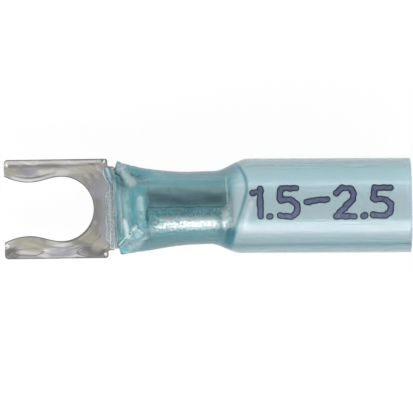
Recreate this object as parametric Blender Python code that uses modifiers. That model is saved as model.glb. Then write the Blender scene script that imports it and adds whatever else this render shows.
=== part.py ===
"""Fork terminal with a heat-shrink sleeve, for a 1.5 to 2.5 square millimetre wire and a 4 mm stud.

A tinned sheet-metal stamping has a flat forked tongue that snaps over the stud, a narrow neck and a
trough that curls up into a barrel with a butt seam on top. A translucent sleeve is shrunk onto the
barrel, flattened at its mouth over the neck, and opens through a skewed shoulder into a wide tube for
the wire. A lip of melted adhesive has been squeezed out of the mouth over the neck.

Metres, +Z up. The terminal lies along X with the fork towards -X, the tongue flat and its screw face
up. Drawing positions run from the tips of the tines, on the barrel's axis, and TO_ORIGIN moves the
model so that the origin is the middle of the base of its box.
"""

import math

import bmesh
import bpy
from mathutils import Vector

# Sheet metal, from the tips of the tines to the back of the tongue
SHEET = 0.0008
TONGUE_WIDTH = 0.00695
TONGUE_LENGTH = 0.00724
STUD_HOLE = 0.0045
STUD_SETBACK = 0.0040
THROAT = 0.00374
THROAT_SETBACK = 0.00175
TIP_GAP = 0.00462
TIP_RADIUS = 0.00026
SHOULDER_RADIUS = 0.00018
RELIEF_RADIUS = 0.00014
EDGE_ROUND = 0.00006

# Neck, trough and barrel, one after the other behind the tongue
NECK_STEP = 0.000545
NECK_LAND = 0.00042
WAIST_WIDTH = 0.0043
WAIST_TAPER = 0.00026
CURL_SETBACK = 0.00062
CURL_LENGTH = 0.0022
WALL_SETBACK = 0.0011
BARREL_BORE = 0.0023
BARREL_LENGTH = 0.00584
BELL_LENGTH = 0.0005
BELL_FLARE = 0.00008
SEAM_GAP = 0.00004
GROOVES = 3
GROOVE_PITCH = 0.0013
GROOVE_RADIUS = 0.00013

# Sleeve
MOUTH_SETBACK = 0.00079
MOUTH_SIDE_GAP = 0.00068
MOUTH_RISE = 0.0009
MOUTH_WALL = 0.00042
MOUTH_CLIMB = 0.0019
MOUTH_LEAN = -0.12
MOUTH_YAW = -0.045
MOUTH_FLAT = 3.8
SEAT_GAP = 0.00008
SHRINK_GAP = 0.00005
NECK_WALL = 0.00055
NECK_DRIFT = 0.00012
NECK_FADE = 1.5
SHOULDER_LAP = 0.00134
SHOULDER_LENGTH = 0.0023
SHOULDER_LEAN = 0.17
SHOULDER_YAW = 0.08
TUBE_BORE = 0.0058
TUBE_WALL = 0.00043
TUBE_OVERHANG = 0.01256
RIM_ROUND = 0.00008

# Adhesive squeezed out over the neck
LIP_OVERLAP = 0.00029
LIP_DEPTH = 0.0018
LIP_MARGIN = 0.00008
LIP_INSET = 0.0002
LIP_THICKNESS = 0.00016
LIP_GAP = 0.0001

# Facets, and the steps from one row or ring to the next
SHEET_COLUMNS = 12
CORNER_STEPS = 3
FLARE_STEPS = 3
SLOT_STEPS = 6
WEB_STEPS = 5
NECK_STEPS = 8
WALL_STEPS = 8
BELL_STEPS = 2
GROOVE_SEGMENTS = 6
RING_POINTS = 40
MOUTH_STEPS = 9
BARREL_STEPS = 5
SHOULDER_STEPS = 9
TUBE_STEPS = 3
LIP_ROWS = 8
LIP_COLUMNS = 6
FLAT_WITHIN = math.radians(0.4)
ROUND_OVER = math.radians(50)
SHARP_OVER = math.radians(35)
MERGE = 0.000001

# Widths across
NECK_WIDTH = TONGUE_WIDTH - 2 * NECK_STEP
LIP_WIDTH = NECK_WIDTH - 2 * LIP_MARGIN

# Positions along X, from the tips of the tines
NECK_END = TONGUE_LENGTH + NECK_LAND
WAIST_START = NECK_END + WAIST_TAPER
CURL_START = TONGUE_LENGTH + CURL_SETBACK
BARREL_START = CURL_START + CURL_LENGTH
BARREL_END = BARREL_START + BARREL_LENGTH
MOUTH_X = TONGUE_LENGTH + MOUTH_SETBACK
SHOULDER_START = BARREL_END - SHOULDER_LAP
SHOULDER_END = SHOULDER_START + SHOULDER_LENGTH
TUBE_END = BARREL_END + TUBE_OVERHANG

# Radii and heights about the barrel's axis
BARREL_RADIUS = BARREL_BORE / 2 + SHEET
SHEET_RADIUS = BARREL_BORE / 2 + SHEET / 2
TONGUE_TOP = -BARREL_BORE / 2
TONGUE_UNDERSIDE = -BARREL_RADIUS
NECK_RADIUS = BARREL_RADIUS + SHRINK_GAP + NECK_WALL
TUBE_RADIUS = TUBE_BORE / 2 + TUBE_WALL
MOUTH_HALF_WIDTH = WAIST_WIDTH / 2 + MOUTH_SIDE_GAP + MOUTH_WALL
MOUTH_TOP = TONGUE_TOP + MOUTH_RISE + MOUTH_WALL
MOUTH_BOTTOM = TONGUE_UNDERSIDE - SEAT_GAP - MOUTH_WALL
MOUTH_MIDDLE = (TONGUE_TOP + TONGUE_UNDERSIDE) / 2
TO_ORIGIN = (-TUBE_END / 2, 0.0, TUBE_RADIUS)


def ramp(value, start, end):
    """0 before start, 1 after end and an even S between them."""
    share = min(max((value - start) / (end - start), 0.0), 1.0)
    return share * share * (3 - 2 * share)


def mix(a, b, share):
    return a + (b - a) * share


def spread(start, end, steps):
    """Positions after start, up to and with end."""
    return [mix(start, end, (i + 1) / steps) for i in range(steps)]


def placed(x, y, z):
    return (x + TO_ORIGIN[0], y + TO_ORIGIN[1], z + TO_ORIGIN[2])


def collection(name):
    made = bpy.data.collections.new(name)
    bpy.context.scene.collection.children.link(made)
    return made


def material(name, colour, roughness, metallic, transmission=0.0):
    made = bpy.data.materials.new(name)
    made.use_nodes = True
    shader = made.node_tree.nodes["Principled BSDF"]
    shader.inputs["Base Color"].default_value = (*colour, 1)
    shader.inputs["Roughness"].default_value = roughness
    shader.inputs["Metallic"].default_value = metallic
    shader.inputs["Transmission Weight"].default_value = transmission
    return made


def sheet_object(name, rows, home, closed=False):
    """An open surface through rows of points, as an object. closed joins each row's ends."""
    mesh = bpy.data.meshes.new(name)
    bm = bmesh.new()
    grid = [[bm.verts.new(placed(*point)) for point in row] for row in rows]
    for near, far in zip(grid, grid[1:]):
        count = len(near)
        for j in range(count if closed else count - 1):
            k = (j + 1) % count
            bm.faces.new((near[j], near[k], far[k], far[j]))
    bm.to_mesh(mesh)
    bm.free()
    obj = bpy.data.objects.new(name, mesh)
    home.objects.link(obj)
    return obj


def add_mirror(obj):
    mirror = obj.modifiers.new("Other half", "MIRROR")
    mirror.use_axis = (False, True, False)
    mirror.merge_threshold = MERGE


def add_wall(obj, thickness, offset, group=""):
    wall = obj.modifiers.new("Wall", "SOLIDIFY")
    wall.thickness = thickness
    wall.offset = offset
    wall.use_even_offset = True
    wall.vertex_group = group


def add_flat_faces(obj):
    """Joins the faces that lie in one plane."""
    flat = obj.modifiers.new("Flat faces", "DECIMATE")
    flat.decimate_type = "DISSOLVE"
    flat.angle_limit = FLAT_WITHIN


def add_round(obj, width):
    bevel = obj.modifiers.new("Rounded edges", "BEVEL")
    bevel.width = width
    bevel.segments = 1
    bevel.limit_method = "ANGLE"
    bevel.angle_limit = ROUND_OVER
    bevel.use_clamp_overlap = True


# Stamping: the flat blank, half of it, as rows across from its inner to its outer edge


def slot_half_width(x):
    """Half the fork's gap: flared at the tips, narrow at the throat, then opening to the stud hole."""
    if x < THROAT_SETBACK:
        share = 1 - x / THROAT_SETBACK
        return mix(THROAT, TIP_GAP, share * share) / 2
    share = (x - THROAT_SETBACK) / (STUD_SETBACK - THROAT_SETBACK)
    return mix(THROAT, STUD_HOLE, (1 - math.cos(math.pi * share)) / 2) / 2


def arc(centre_x, centre_y, radius, start, end, steps=CORNER_STEPS):
    """Points on an arc from start to end, in degrees, with both ends."""
    angles = [math.radians(mix(start, end, i / steps)) for i in range(steps + 1)]
    return [
        (centre_x + radius * math.cos(a), centre_y + radius * math.sin(a))
        for a in angles
    ]


def blank_half_width(x):
    """Half the blank's width behind the tongue: neck, waist, then wide enough to close the barrel."""
    waist = mix(NECK_WIDTH, WAIST_WIDTH, ramp(x, NECK_END, WAIST_START)) / 2
    edge_tilt = math.pi / SHEET_COLUMNS / 2
    closed = math.pi * sheet_radius(x) - SEAM_GAP / 2 - SHEET / 2 * math.sin(edge_tilt)
    return mix(waist, closed, ramp(x, BARREL_START - WALL_SETBACK, BARREL_START))


def bell(x):
    return BELL_FLARE * ramp(x, BARREL_END - BELL_LENGTH, BARREL_END)


def sheet_radius(x):
    """Radius of the barrel's sheet at its mid thickness."""
    return SHEET_RADIUS + bell(x)


def curled(x, s):
    """Where a point of the blank, s from its middle line, lies once the trough is curled."""
    curvature = ramp(x, CURL_START, BARREL_START) / sheet_radius(x)
    base = -SHEET_RADIUS - bell(x)
    if curvature < 1:
        return Vector((x, s, base))
    radius = 1 / curvature
    angle = s * curvature
    return Vector((x, radius * math.sin(angle), base + radius - radius * math.cos(angle)))


def raised(x, s, height):
    """The point at that height over the curled sheet's mid thickness, square to the sheet."""
    foot = curled(x, s)
    along = curled(x + MERGE, s) - foot
    across = curled(x, s + MERGE) - foot
    return foot + along.cross(across).normalized() * height


def tine_rows():
    """Rows across one tine, from its tip to the middle of the stud hole."""
    edge = TONGUE_WIDTH / 2
    corner = arc(TIP_RADIUS, edge - TIP_RADIUS, TIP_RADIUS, 180, 90)
    straight = spread(TIP_RADIUS, THROAT_SETBACK, FLARE_STEPS)
    straight += spread(THROAT_SETBACK, STUD_SETBACK, SLOT_STEPS)
    outer = corner + [(x, edge) for x in straight]
    return [((x, slot_half_width(x)), (x, y)) for x, y in outer]


def web_rows():
    """Rows that fan round the back of the stud hole, out to the tongue's shoulder and the neck."""
    edge = TONGUE_WIDTH / 2
    neck = NECK_WIDTH / 2
    corner = arc(TONGUE_LENGTH - SHOULDER_RADIUS, edge - SHOULDER_RADIUS, SHOULDER_RADIUS, 90, 0)
    relief = arc(TONGUE_LENGTH + RELIEF_RADIUS, neck + RELIEF_RADIUS, RELIEF_RADIUS, 180, 270)
    straight = spread(STUD_SETBACK, corner[0][0], WEB_STEPS)[:-1]
    outer = [(x, edge) for x in straight] + corner + relief
    inner = arc(STUD_SETBACK, 0, STUD_HOLE / 2, 90, 0, len(outer))[1:]
    inner[-1] = (STUD_SETBACK + STUD_HOLE / 2, 0.0)
    return list(zip(inner, outer))


def neck_rows(start, end):
    """Rows from the middle line to the blank's edge, which turn square to it by the end."""
    inner = spread(start[0][0], end, NECK_STEPS)
    outer = spread(start[1][0], end, NECK_STEPS)
    return [((a, 0.0), (b, blank_half_width(b))) for a, b in zip(inner, outer)]


def square_rows(positions):
    return [((x, 0.0), (x, blank_half_width(x))) for x in positions]


def blank_rows():
    rows = tine_rows() + web_rows()
    wall_start = BARREL_START - WALL_SETBACK
    rows += neck_rows(rows[-1], wall_start)
    rows += square_rows(spread(wall_start, BARREL_START, WALL_STEPS))
    rows += square_rows([BARREL_END - BELL_LENGTH])
    rows += square_rows(spread(BARREL_END - BELL_LENGTH, BARREL_END, BELL_STEPS))
    return rows


def make_groove_cutters(home):
    """Rings that cut the grip grooves into the barrel's bore."""
    cutters = []
    middle = (BARREL_START + BARREL_END - BELL_LENGTH) / 2
    for i in range(GROOVES):
        x = middle + (i - (GROOVES - 1) / 2) * GROOVE_PITCH
        bpy.ops.mesh.primitive_torus_add(
            major_segments=2 * SHEET_COLUMNS,
            minor_segments=GROOVE_SEGMENTS,
            major_radius=BARREL_BORE / 2,
            minor_radius=GROOVE_RADIUS,
            location=placed(x, 0, 0),
            rotation=(0, math.pi / 2, 0),
        )
        cutter = bpy.context.object
        cutter.name = f"groove_cutter_{i + 1}"
        for owner in list(cutter.users_collection):
            owner.objects.unlink(cutter)
        home.objects.link(cutter)
        cutter.display_type = "WIRE"
        cutter.hide_render = True
        cutters.append(cutter)
    return cutters


def make_stamping(home, cutter_home):
    rows = []
    for (x0, s0), (x1, s1) in blank_rows():
        shares = [0.0] + spread(0.0, 1.0, SHEET_COLUMNS)
        rows.append([curled(mix(x0, x1, t), mix(s0, s1, t)) for t in shares])
    obj = sheet_object("metal_fork", rows, home)
    add_mirror(obj)
    add_wall(obj, SHEET, 0.0)
    add_flat_faces(obj)
    add_round(obj, EDGE_ROUND)
    for cutter in make_groove_cutters(cutter_home):
        cut = obj.modifiers.new(cutter.name, "BOOLEAN")
        cut.operation = "DIFFERENCE"
        cut.solver = "EXACT"
        cut.object = cutter
    obj.data.materials.append(material("tinned_metal", (0.62, 0.61, 0.6), 0.28, 1.0))
    return obj


# Sleeve: rings of its outer face, each leaning and turned a little, and a wall to the inside


def neck_flare(x):
    """How much wider the sleeve still is than the barrel needs, from its mouth to mid barrel."""
    fade = (BARREL_START + BARREL_END) / 2
    share = max(1 - (x - MOUTH_X) / (fade - MOUTH_X), 0.0)
    return (MOUTH_HALF_WIDTH - NECK_RADIUS) * share**NECK_FADE


def sleeve_ring(x):
    """The sleeve's outer section at drawing position x, and the wall at each of its points."""
    opened = ramp(x, SHOULDER_START, SHOULDER_END)
    rounded = ramp(x, MOUTH_X, BARREL_START)
    radius = mix(NECK_RADIUS, TUBE_RADIUS, opened)
    half_width = radius + neck_flare(x)
    climb = min((x - MOUTH_X) / MOUTH_CLIMB, 1.0)
    top = mix(MOUTH_TOP, radius, math.sin(math.pi / 2 * climb))
    bottom = mix(MOUTH_BOTTOM, -radius, rounded)
    middle = mix(MOUTH_MIDDLE, 0.0, rounded)
    flat = mix(MOUTH_FLAT, 2.0, rounded)
    tilted = 1 - ramp(x, MOUTH_X, (BARREL_START + SHOULDER_START) / 2)
    wall = mix(mix(NECK_WALL, MOUTH_WALL, tilted), TUBE_WALL, opened)
    skew = ramp(x, (BARREL_START + SHOULDER_START) / 2, SHOULDER_START)
    skew *= 1 - ramp(x, SHOULDER_END, (SHOULDER_END + TUBE_END) / 2)
    lean = MOUTH_LEAN * tilted + SHOULDER_LEAN * skew
    yaw = MOUTH_YAW * tilted + SHOULDER_YAW * skew
    drift = NECK_DRIFT * ramp(x, MOUTH_X, BARREL_START) * (1 - ramp(x, BARREL_START, SHOULDER_END))
    points = []
    walls = []
    for i in range(RING_POINTS):
        angle = 2 * math.pi * i / RING_POINTS
        across, up = math.cos(angle), math.sin(angle)
        power = 2 / flat if up < 0 else 1.0
        y = half_width * math.copysign(abs(across) ** power, across)
        height = top - middle if up > 0 else middle - bottom
        z = middle + height * math.copysign(abs(up) ** power, up)
        points.append((x + lean * (z - middle) + yaw * y, y - drift, z))
        walls.append(wall - drift * across)
    return points, walls


def make_sleeve(home):
    stations = [MOUTH_X] + spread(MOUTH_X, BARREL_START, MOUTH_STEPS)
    stations += spread(BARREL_START, SHOULDER_START, BARREL_STEPS)
    stations += spread(SHOULDER_START, SHOULDER_END, SHOULDER_STEPS)
    stations += spread(SHOULDER_END, TUBE_END, TUBE_STEPS)
    rings = [sleeve_ring(x) for x in stations]
    obj = sheet_object("shrink_sleeve", [points for points, _ in rings], home, closed=True)
    group = obj.vertex_groups.new(name="wall")
    thickest = NECK_WALL + NECK_DRIFT
    for i, (_, walls) in enumerate(rings):
        for j, wall in enumerate(walls):
            group.add([i * RING_POINTS + j], wall / thickest, "REPLACE")
    add_wall(obj, thickest, -1.0, "wall")
    add_round(obj, RIM_ROUND)
    obj.data.materials.append(
        material("translucent_sleeve", (0.25, 0.55, 0.6), 0.2, 0.0, 0.6)
    )
    return obj


# Adhesive: a thin layer on the neck's upper face, from the tongue back into the mouth


def make_adhesive_lip(home):
    height = SHEET / 2 + LIP_GAP + LIP_THICKNESS / 2
    front = TONGUE_LENGTH - LIP_OVERLAP
    back = front + LIP_DEPTH
    rows = []
    for x in [front] + spread(front, back, LIP_ROWS):
        half = mix(LIP_WIDTH, WAIST_WIDTH - 2 * LIP_INSET, ramp(x, NECK_END, WAIST_START)) / 2
        rows.append([raised(x, s, height) for s in [0.0] + spread(0.0, half, LIP_COLUMNS)])
    obj = sheet_object("adhesive_lip", rows, home)
    add_mirror(obj)
    add_wall(obj, LIP_THICKNESS, 0.0)
    obj.data.materials.append(material("adhesive", (0.7, 0.8, 0.81), 0.15, 0.0, 0.7))
    return obj


def main():
    for obj in list(bpy.data.objects):
        bpy.data.objects.remove(obj)
    parts = collection("fork_terminal")
    cutters = collection("cutters")
    for obj in (make_stamping(parts, cutters), make_sleeve(parts), make_adhesive_lip(parts)):
        obj.data.shade_smooth()
        obj.data.set_sharp_from_angle(angle=SHARP_OVER)


main()
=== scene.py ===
"""Fork terminal with a heat-shrink sleeve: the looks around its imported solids, and the studio.

The solids load first as a fixed frame. Finer pieces then stand for them: a tinned stamping, a clear
teal sleeve, the adhesive at its mouth and the wire size printed on its tube. Each piece and the stage
has its operator, and the panel in the sidebar lists them with the sizes and colours they read.
"""

import math

import bmesh
import bpy
from bpy.props import FloatProperty, FloatVectorProperty, PointerProperty, StringProperty
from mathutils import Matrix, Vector


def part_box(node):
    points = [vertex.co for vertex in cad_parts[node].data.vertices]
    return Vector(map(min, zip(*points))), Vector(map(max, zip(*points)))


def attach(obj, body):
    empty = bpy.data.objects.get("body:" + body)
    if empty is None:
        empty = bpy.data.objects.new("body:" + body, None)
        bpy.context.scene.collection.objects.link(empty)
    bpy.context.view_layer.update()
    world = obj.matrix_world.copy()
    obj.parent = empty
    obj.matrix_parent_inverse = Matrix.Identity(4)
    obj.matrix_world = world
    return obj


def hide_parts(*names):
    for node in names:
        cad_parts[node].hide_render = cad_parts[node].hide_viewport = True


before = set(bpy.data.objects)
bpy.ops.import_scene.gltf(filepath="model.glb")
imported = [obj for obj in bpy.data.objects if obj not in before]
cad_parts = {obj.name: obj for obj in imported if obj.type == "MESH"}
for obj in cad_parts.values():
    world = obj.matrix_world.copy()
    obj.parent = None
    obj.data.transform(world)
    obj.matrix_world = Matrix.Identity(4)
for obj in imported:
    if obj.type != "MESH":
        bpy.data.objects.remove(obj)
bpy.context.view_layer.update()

bl_info = {
    "name": "Heat-shrink fork terminal",
    "version": (1, 0, 0),
    "blender": (4, 5, 0),
    "location": "View3D > Sidebar > Terminal",
    "description": "Builds the pieces of a fork terminal and the studio around it",
    "category": "Object",
}

MM = 0.001
MERGE = 1e-6
WHITE = (1.0, 1.0, 1.0)

# The box of the solids gives the tips of the tines, the end of the tube and the barrel's axis
SLEEVE_LOW, SLEEVE_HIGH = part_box("shrink_sleeve")
TIPS_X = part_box("metal_fork")[0].x
AXIS_Z = (SLEEVE_LOW.z + SLEEVE_HIGH.z) / 2
TUBE_END = SLEEVE_HIGH.x - TIPS_X


def length(name, description, default, least=0.0):
    return FloatProperty(
        name=name, description=description, default=default * MM, min=least, unit="LENGTH", precision=5
    )


def share(name, description, default):
    return FloatProperty(
        name=name, description=description, default=default, min=0, max=1, subtype="FACTOR"
    )


def colour(name, description, default):
    return FloatVectorProperty(
        name=name, description=description, default=default, min=0, max=1, size=3, subtype="COLOR"
    )


class StampingSettings(bpy.types.PropertyGroup):
    sheet: length("Sheet", "Thickness of the sheet metal", 0.8)
    tongue_width: length("Tongue width", "Width over both tines", 6.95)
    tongue_length: length("Tongue length", "From the tips of the tines to the neck", 7.24)
    stud_hole: length("Stud hole", "Width of the round end of the slot", 4.5)
    throat: length("Throat", "Width of the slot at its narrowest", 3.74)
    tip_gap: length("Tip gap", "Width of the slot between the tips", 4.62)
    barrel_bore: length("Barrel bore", "Width of the hole for the wire's strands", 2.3)
    barrel_length: length("Barrel length", "Length of the closed barrel", 5.84)
    tin: colour("Tin", "Colour of the tin plating", (0.6, 0.59, 0.575))
    # Pale and dark tin: partly the plating's own tone and partly painted reflection, sheen from the lamps and
    # shade from the dim room
    sheen_and_pale_tin: colour("Bright tin", "Colour of its pale streaks", (0.95, 0.95, 0.94))
    shade_and_dull_tin: colour("Dull tin", "Colour of its dark streaks", (0.24, 0.235, 0.22))
    olive: colour("Olive tint", "Tint of the oxide along the contour", (0.6, 0.575, 0.46))
    violet: colour("Violet tint", "Tint of the oxide in the hollows", (0.5, 0.48, 0.56))
    # Sheared edge: partly the die's cut and partly painted shade, the dark outline that rolled edges take
    # from the dim room
    edge: colour("Sheared edge", "Colour of the edges left by the die", (0.22, 0.2, 0.2))


class SleeveSettings(bpy.types.PropertyGroup):
    tube_radius: length("Tube radius", "Outer radius of the wide end", 3.3)
    tube_wall: length("Tube wall", "Wall of the wide end", 0.43)
    neck_radius: length("Neck radius", "Outer radius where it is shrunk onto the barrel", 2.55)
    neck_wall: length("Neck wall", "Wall where it is shrunk", 0.55)
    mouth_wall: length("Mouth wall", "Wall at the flattened mouth", 0.42)
    wrinkle: length("Wrinkle", "Height of the small folds at the mouth", 0.09)
    streak: length("Streak", "Depth of the lengthwise streaks on the neck", 0.02)
    tube: colour("Tube", "Tint of the wide end", (0.88, 0.97, 0.99))
    neck: colour("Neck", "Tint where it is shrunk and thick", (0.58, 0.97, 0.99))
    ring: colour("Ring", "Tint where its lining ends at the shoulder", (0.22, 0.7, 0.84))
    # Milk: partly stress whitening and partly painted highlight on the crests of the folds
    milk: colour("Milk", "Tint of the cloudy folds at the mouth", (0.76, 0.99, 1.0))
    # Crease: deeper where the wall doubles, and in the folds at the mouth partly painted shade
    crease: colour("Crease", "Tint in the creases, where the wall doubles", (0.3, 0.64, 0.72))
    deep: colour("Depth tint", "Tint that builds up inside the wall", (0.4, 0.6, 0.65))
    density: FloatProperty(
        name="Density", description="How fast that tint builds up, per metre", default=1200
    )


class AdhesiveSettings(bpy.types.PropertyGroup):
    thickness: length("Thickness", "Thickness of the film", 0.16)
    depth: length("Depth", "From its front edge back into the mouth", 3.05)
    ripple: length("Ripple", "Height of its ridges", 0.07)
    clear: colour("Clear", "Tint of the thin film", (0.45, 0.51, 0.53))
    teal: colour("Teal", "Tint of its thick folds", (0.14, 0.38, 0.46))


class MarkingSettings(bpy.types.PropertyGroup):
    text: StringProperty(
        name="Text",
        description="Wire size in square millimetres, in the digits 1, 2 and 5, dot and dash",
        default="1.5-2.5",
    )
    height: length("Height", "Height of the digits, measured round the tube", 2.0)
    base: FloatProperty(
        name="Base", description="Foot of the digits, measured round the tube from its top line",
        default=-0.77 * MM, unit="LENGTH", precision=5,
    )
    start: length("Start", "Place of the first digit, from the tips of the tines", 17.37)
    dot: length("Dot", "Radius of one drop of ink", 0.25)
    step: length("Step", "Distance from one drop to the next", 0.2)
    shake: length("Shake", "How far a drop may land off its line", 0.03)
    ink: colour("Ink", "Colour inside the strokes", (0.075, 0.105, 0.19))
    outline: colour("Outline", "Colour where the ink gathers at the edge", (0.006, 0.014, 0.03))


class StageSettings(bpy.types.PropertyGroup):
    frame_width: length("Frame width", "Width that the camera sees", 29.0)
    distance: length("Distance", "Height of the camera", 600.0)
    roll: FloatProperty(
        name="Roll",
        description="Turn of the camera about its axis",
        default=math.radians(-0.77),
        subtype="ANGLE",
    )
    key: FloatProperty(name="Softbox", description="Radiance of the long softbox", default=4.5, min=0)
    strip: FloatProperty(name="Strip light", description="Radiance of the strip light", default=3.0, min=0)
    ambient: FloatProperty(name="Ambient", description="Level of the room's light", default=0.75, min=0)
    ceiling: share("Ceiling", "How bright the room looks overhead in reflections", 0.6)


class TerminalSettings(bpy.types.PropertyGroup):
    stamping: PointerProperty(type=StampingSettings)
    sleeve: PointerProperty(type=SleeveSettings)
    adhesive: PointerProperty(type=AdhesiveSettings)
    marking: PointerProperty(type=MarkingSettings)
    stage: PointerProperty(type=StageSettings)


# Node trees


def connect(tree, socket, value):
    """Links a wire to the socket, or sets its number or colour."""
    if isinstance(value, Wire):
        tree.links.new(value.socket, socket)
    elif socket.type == "RGBA":
        socket.default_value = (*value[:3], 1)
    else:
        socket.default_value = value


def arithmetic(operation, swapped=False):
    """A method that adds one Math node for two values."""

    def method(self, other):
        return self.math(operation, *((other, self) if swapped else (self, other)))

    return method


class Wire:
    """An output socket of a node tree. Arithmetic on it adds Math nodes."""

    def __init__(self, tree, socket=None):
        self.tree = tree
        self.socket = socket

    def node(self, kind, settings=None, inputs=None, output=0):
        """Adds a node: its settings first, then values or links for its sockets by name or number."""
        made = self.tree.nodes.new(kind)
        for key, value in (settings or {}).items():
            setattr(made, key, value)
        for key, value in (inputs or {}).items():
            connect(self.tree, self.pick(made.inputs, key), value)
        return Wire(self.tree, self.pick(made.outputs, output) if made.outputs else None)

    @staticmethod
    def pick(sockets, key):
        if isinstance(key, int):
            return sockets[key]
        return next(s for s in sockets if s.name == key and s.enabled)

    def math(self, operation, *values):
        return self.node("ShaderNodeMath", {"operation": operation}, dict(enumerate(values)))

    __add__ = arithmetic("ADD")
    __radd__ = arithmetic("ADD", swapped=True)
    __sub__ = arithmetic("SUBTRACT")
    __rsub__ = arithmetic("SUBTRACT", swapped=True)
    __mul__ = arithmetic("MULTIPLY")
    __rmul__ = arithmetic("MULTIPLY", swapped=True)
    __truediv__ = arithmetic("DIVIDE")
    __rtruediv__ = arithmetic("DIVIDE", swapped=True)
    __pow__ = arithmetic("POWER")
    least = arithmetic("MINIMUM")
    most = arithmetic("MAXIMUM")

    def __neg__(self):
        return self.math("MULTIPLY", self, -1.0)

    def __abs__(self):
        return self.math("ABSOLUTE", self)

    def sin(self):
        return self.math("SINE", self)

    def cos(self):
        return self.math("COSINE", self)

    def signed_power(self, power):
        return self.math("SIGN", self) * abs(self) ** power

    def ramp(self, start, end, low=0.0, high=1.0, kind="SMOOTHSTEP"):
        """low before start, high after end and an even S between them."""
        return self.node(
            "ShaderNodeMapRange",
            {"interpolation_type": kind},
            {"Value": self, "From Min": start, "From Max": end, "To Min": low, "To Max": high},
        )

    def bump_at(self, centre, half_width):
        """1 at the centre, falling to 0 a half width to either side."""
        return abs(self - centre).ramp(0.0, half_width, 1.0, 0.0)

    def vector(self, x, y, z):
        return self.node("ShaderNodeCombineXYZ", None, {0: x, 1: y, 2: z})

    def parts(self):
        """The three numbers of a vector."""
        first = self.node("ShaderNodeSeparateXYZ", None, {0: self})
        outputs = first.socket.node.outputs
        return [Wire(self.tree, outputs[i]) for i in range(3)]

    def length(self):
        return self.node("ShaderNodeVectorMath", {"operation": "LENGTH"}, {0: self}, "Value")

    def scaled(self, factor):
        return self.node(
            "ShaderNodeVectorMath", {"operation": "SCALE"}, {0: self, "Scale": factor}, "Vector"
        )

    def stretched(self, x, y, z):
        return self.node("ShaderNodeVectorMath", {"operation": "MULTIPLY"}, {0: self, 1: (x, y, z)}, "Vector")

    def noise(self, scale=1.0, detail=2.0, roughness=0.5, distortion=0.0):
        """Even noise over this vector, about 0.5 in the middle."""
        values = {"Vector": self, "Scale": scale, "Detail": detail}
        values |= {"Roughness": roughness, "Distortion": distortion}
        return self.node("ShaderNodeTexNoise", None, values)

    def tint(self, other, factor):
        """This colour mixed with another."""
        return self.node("ShaderNodeMix", {"data_type": "RGBA"}, {0: factor, 6: self, 7: other}, 2)


def mix(a, b, factor):
    return a + (b - a) * factor


def blank_material(name):
    """A new material with its shader, and a wire to write its nodes from."""
    made = bpy.data.materials.new(name)
    made.use_nodes = True
    return made, made.node_tree.nodes["Principled BSDF"], Wire(made.node_tree)


def feed(shader, **values):
    """Sets the shader's sockets. Underscores in a key stand for spaces."""
    for key, value in values.items():
        connect(shader.id_data, shader.inputs[key.replace("_", " ")], value)


def plain(wire, tint):
    """A colour as a wire."""
    return wire.node("ShaderNodeMix", {"data_type": "RGBA"}, {0: 0.0, 6: tint, 7: tint}, 2)


def attribute(wire, name):
    """The number that the mesh stores under that name."""
    return wire.node("ShaderNodeAttribute", {"attribute_name": name}, output="Fac")


def millimetres(wire):
    """The place on the object in millimetres."""
    return wire.node("ShaderNodeTexCoord", output="Object").scaled(1000)


def bumped(wire, height, depth):
    return wire.node("ShaderNodeBump", None, {"Strength": 1.0, "Distance": depth, "Height": height})


# Meshes


def ramp(value, start, end):
    """0 before start, 1 after end and an even S between them."""
    part = min(max((value - start) / (end - start), 0.0), 1.0)
    return part * part * (3 - 2 * part)


def spread(start, end, steps):
    """Values from start to end, with both."""
    return [mix(start, end, i / steps) for i in range(steps + 1)]


def placed(point):
    """A drawing point, from the tips of the tines on the barrel's axis, in the frame of the solids."""
    return Vector((point[0] + TIPS_X, point[1], point[2] + AXIS_Z))


def new_object(name, data):
    """An object in the scene, at the origin."""
    obj = bpy.data.objects.new(name, data)
    bpy.context.scene.collection.objects.link(obj)
    return obj


def grid_object(name, rows, attributes):
    """A sheet through rows of points. attributes gives each point's numbers by name, in the same rows."""
    mesh = bpy.data.meshes.new(name)
    width = len(rows[0])
    points = [placed(point) for row in rows for point in row]
    faces = []
    for i in range(len(rows) - 1):
        for j in range(width - 1):
            a = i * width + j
            faces.append((a, a + 1, a + width + 1, a + width))
    mesh.from_pydata(points, [], faces)
    for key, values in attributes.items():
        layer = mesh.attributes.new(key, "FLOAT", "POINT")
        layer.data.foreach_set("value", [value for row in values for value in row])
    return new_object(name, mesh)


def add_modifier(obj, name, kind, **settings):
    made = obj.modifiers.new(name, kind)
    for key, value in settings.items():
        setattr(made, key, value)
    return made


def baked(obj):
    """Puts the result of the modifiers in the object's mesh."""
    depsgraph = bpy.context.evaluated_depsgraph_get()
    mesh = bpy.data.meshes.new_from_object(obj.evaluated_get(depsgraph), depsgraph=depsgraph)
    obj.modifiers.clear()
    obj.data = mesh
    return mesh


def new_group(name, floats, ints=(), geometry=False):
    """A geometry tree with its inputs by name, the wire it is written from and a wire for each input."""
    tree = bpy.data.node_groups.new(name, "GeometryNodeTree")
    tree.interface.new_socket("Geometry", in_out="OUTPUT", socket_type="NodeSocketGeometry")
    inputs = [("Geometry", "Geometry")] if geometry else []
    inputs += [(key, "Float") for key in floats] + [(key, "Int") for key in ints]
    for key, kind in inputs:
        tree.interface.new_socket(key, in_out="INPUT", socket_type="NodeSocket" + kind)
    wire = Wire(tree)
    inlet = wire.node("NodeGroupInput").socket.node
    return tree, wire, [Wire(tree, inlet.outputs[i]) for i in range(len(inputs))]


def shape_by(obj, tree, values):
    """Puts the tree's result, with these inputs, in the object's mesh."""
    modifier = add_modifier(obj, tree.name, "NODES", node_group=tree)
    for item in tree.interface.items_tree:
        if item.in_out == "INPUT" and item.name in values:
            modifier[item.identifier] = values[item.name]
    baked(obj)


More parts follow.
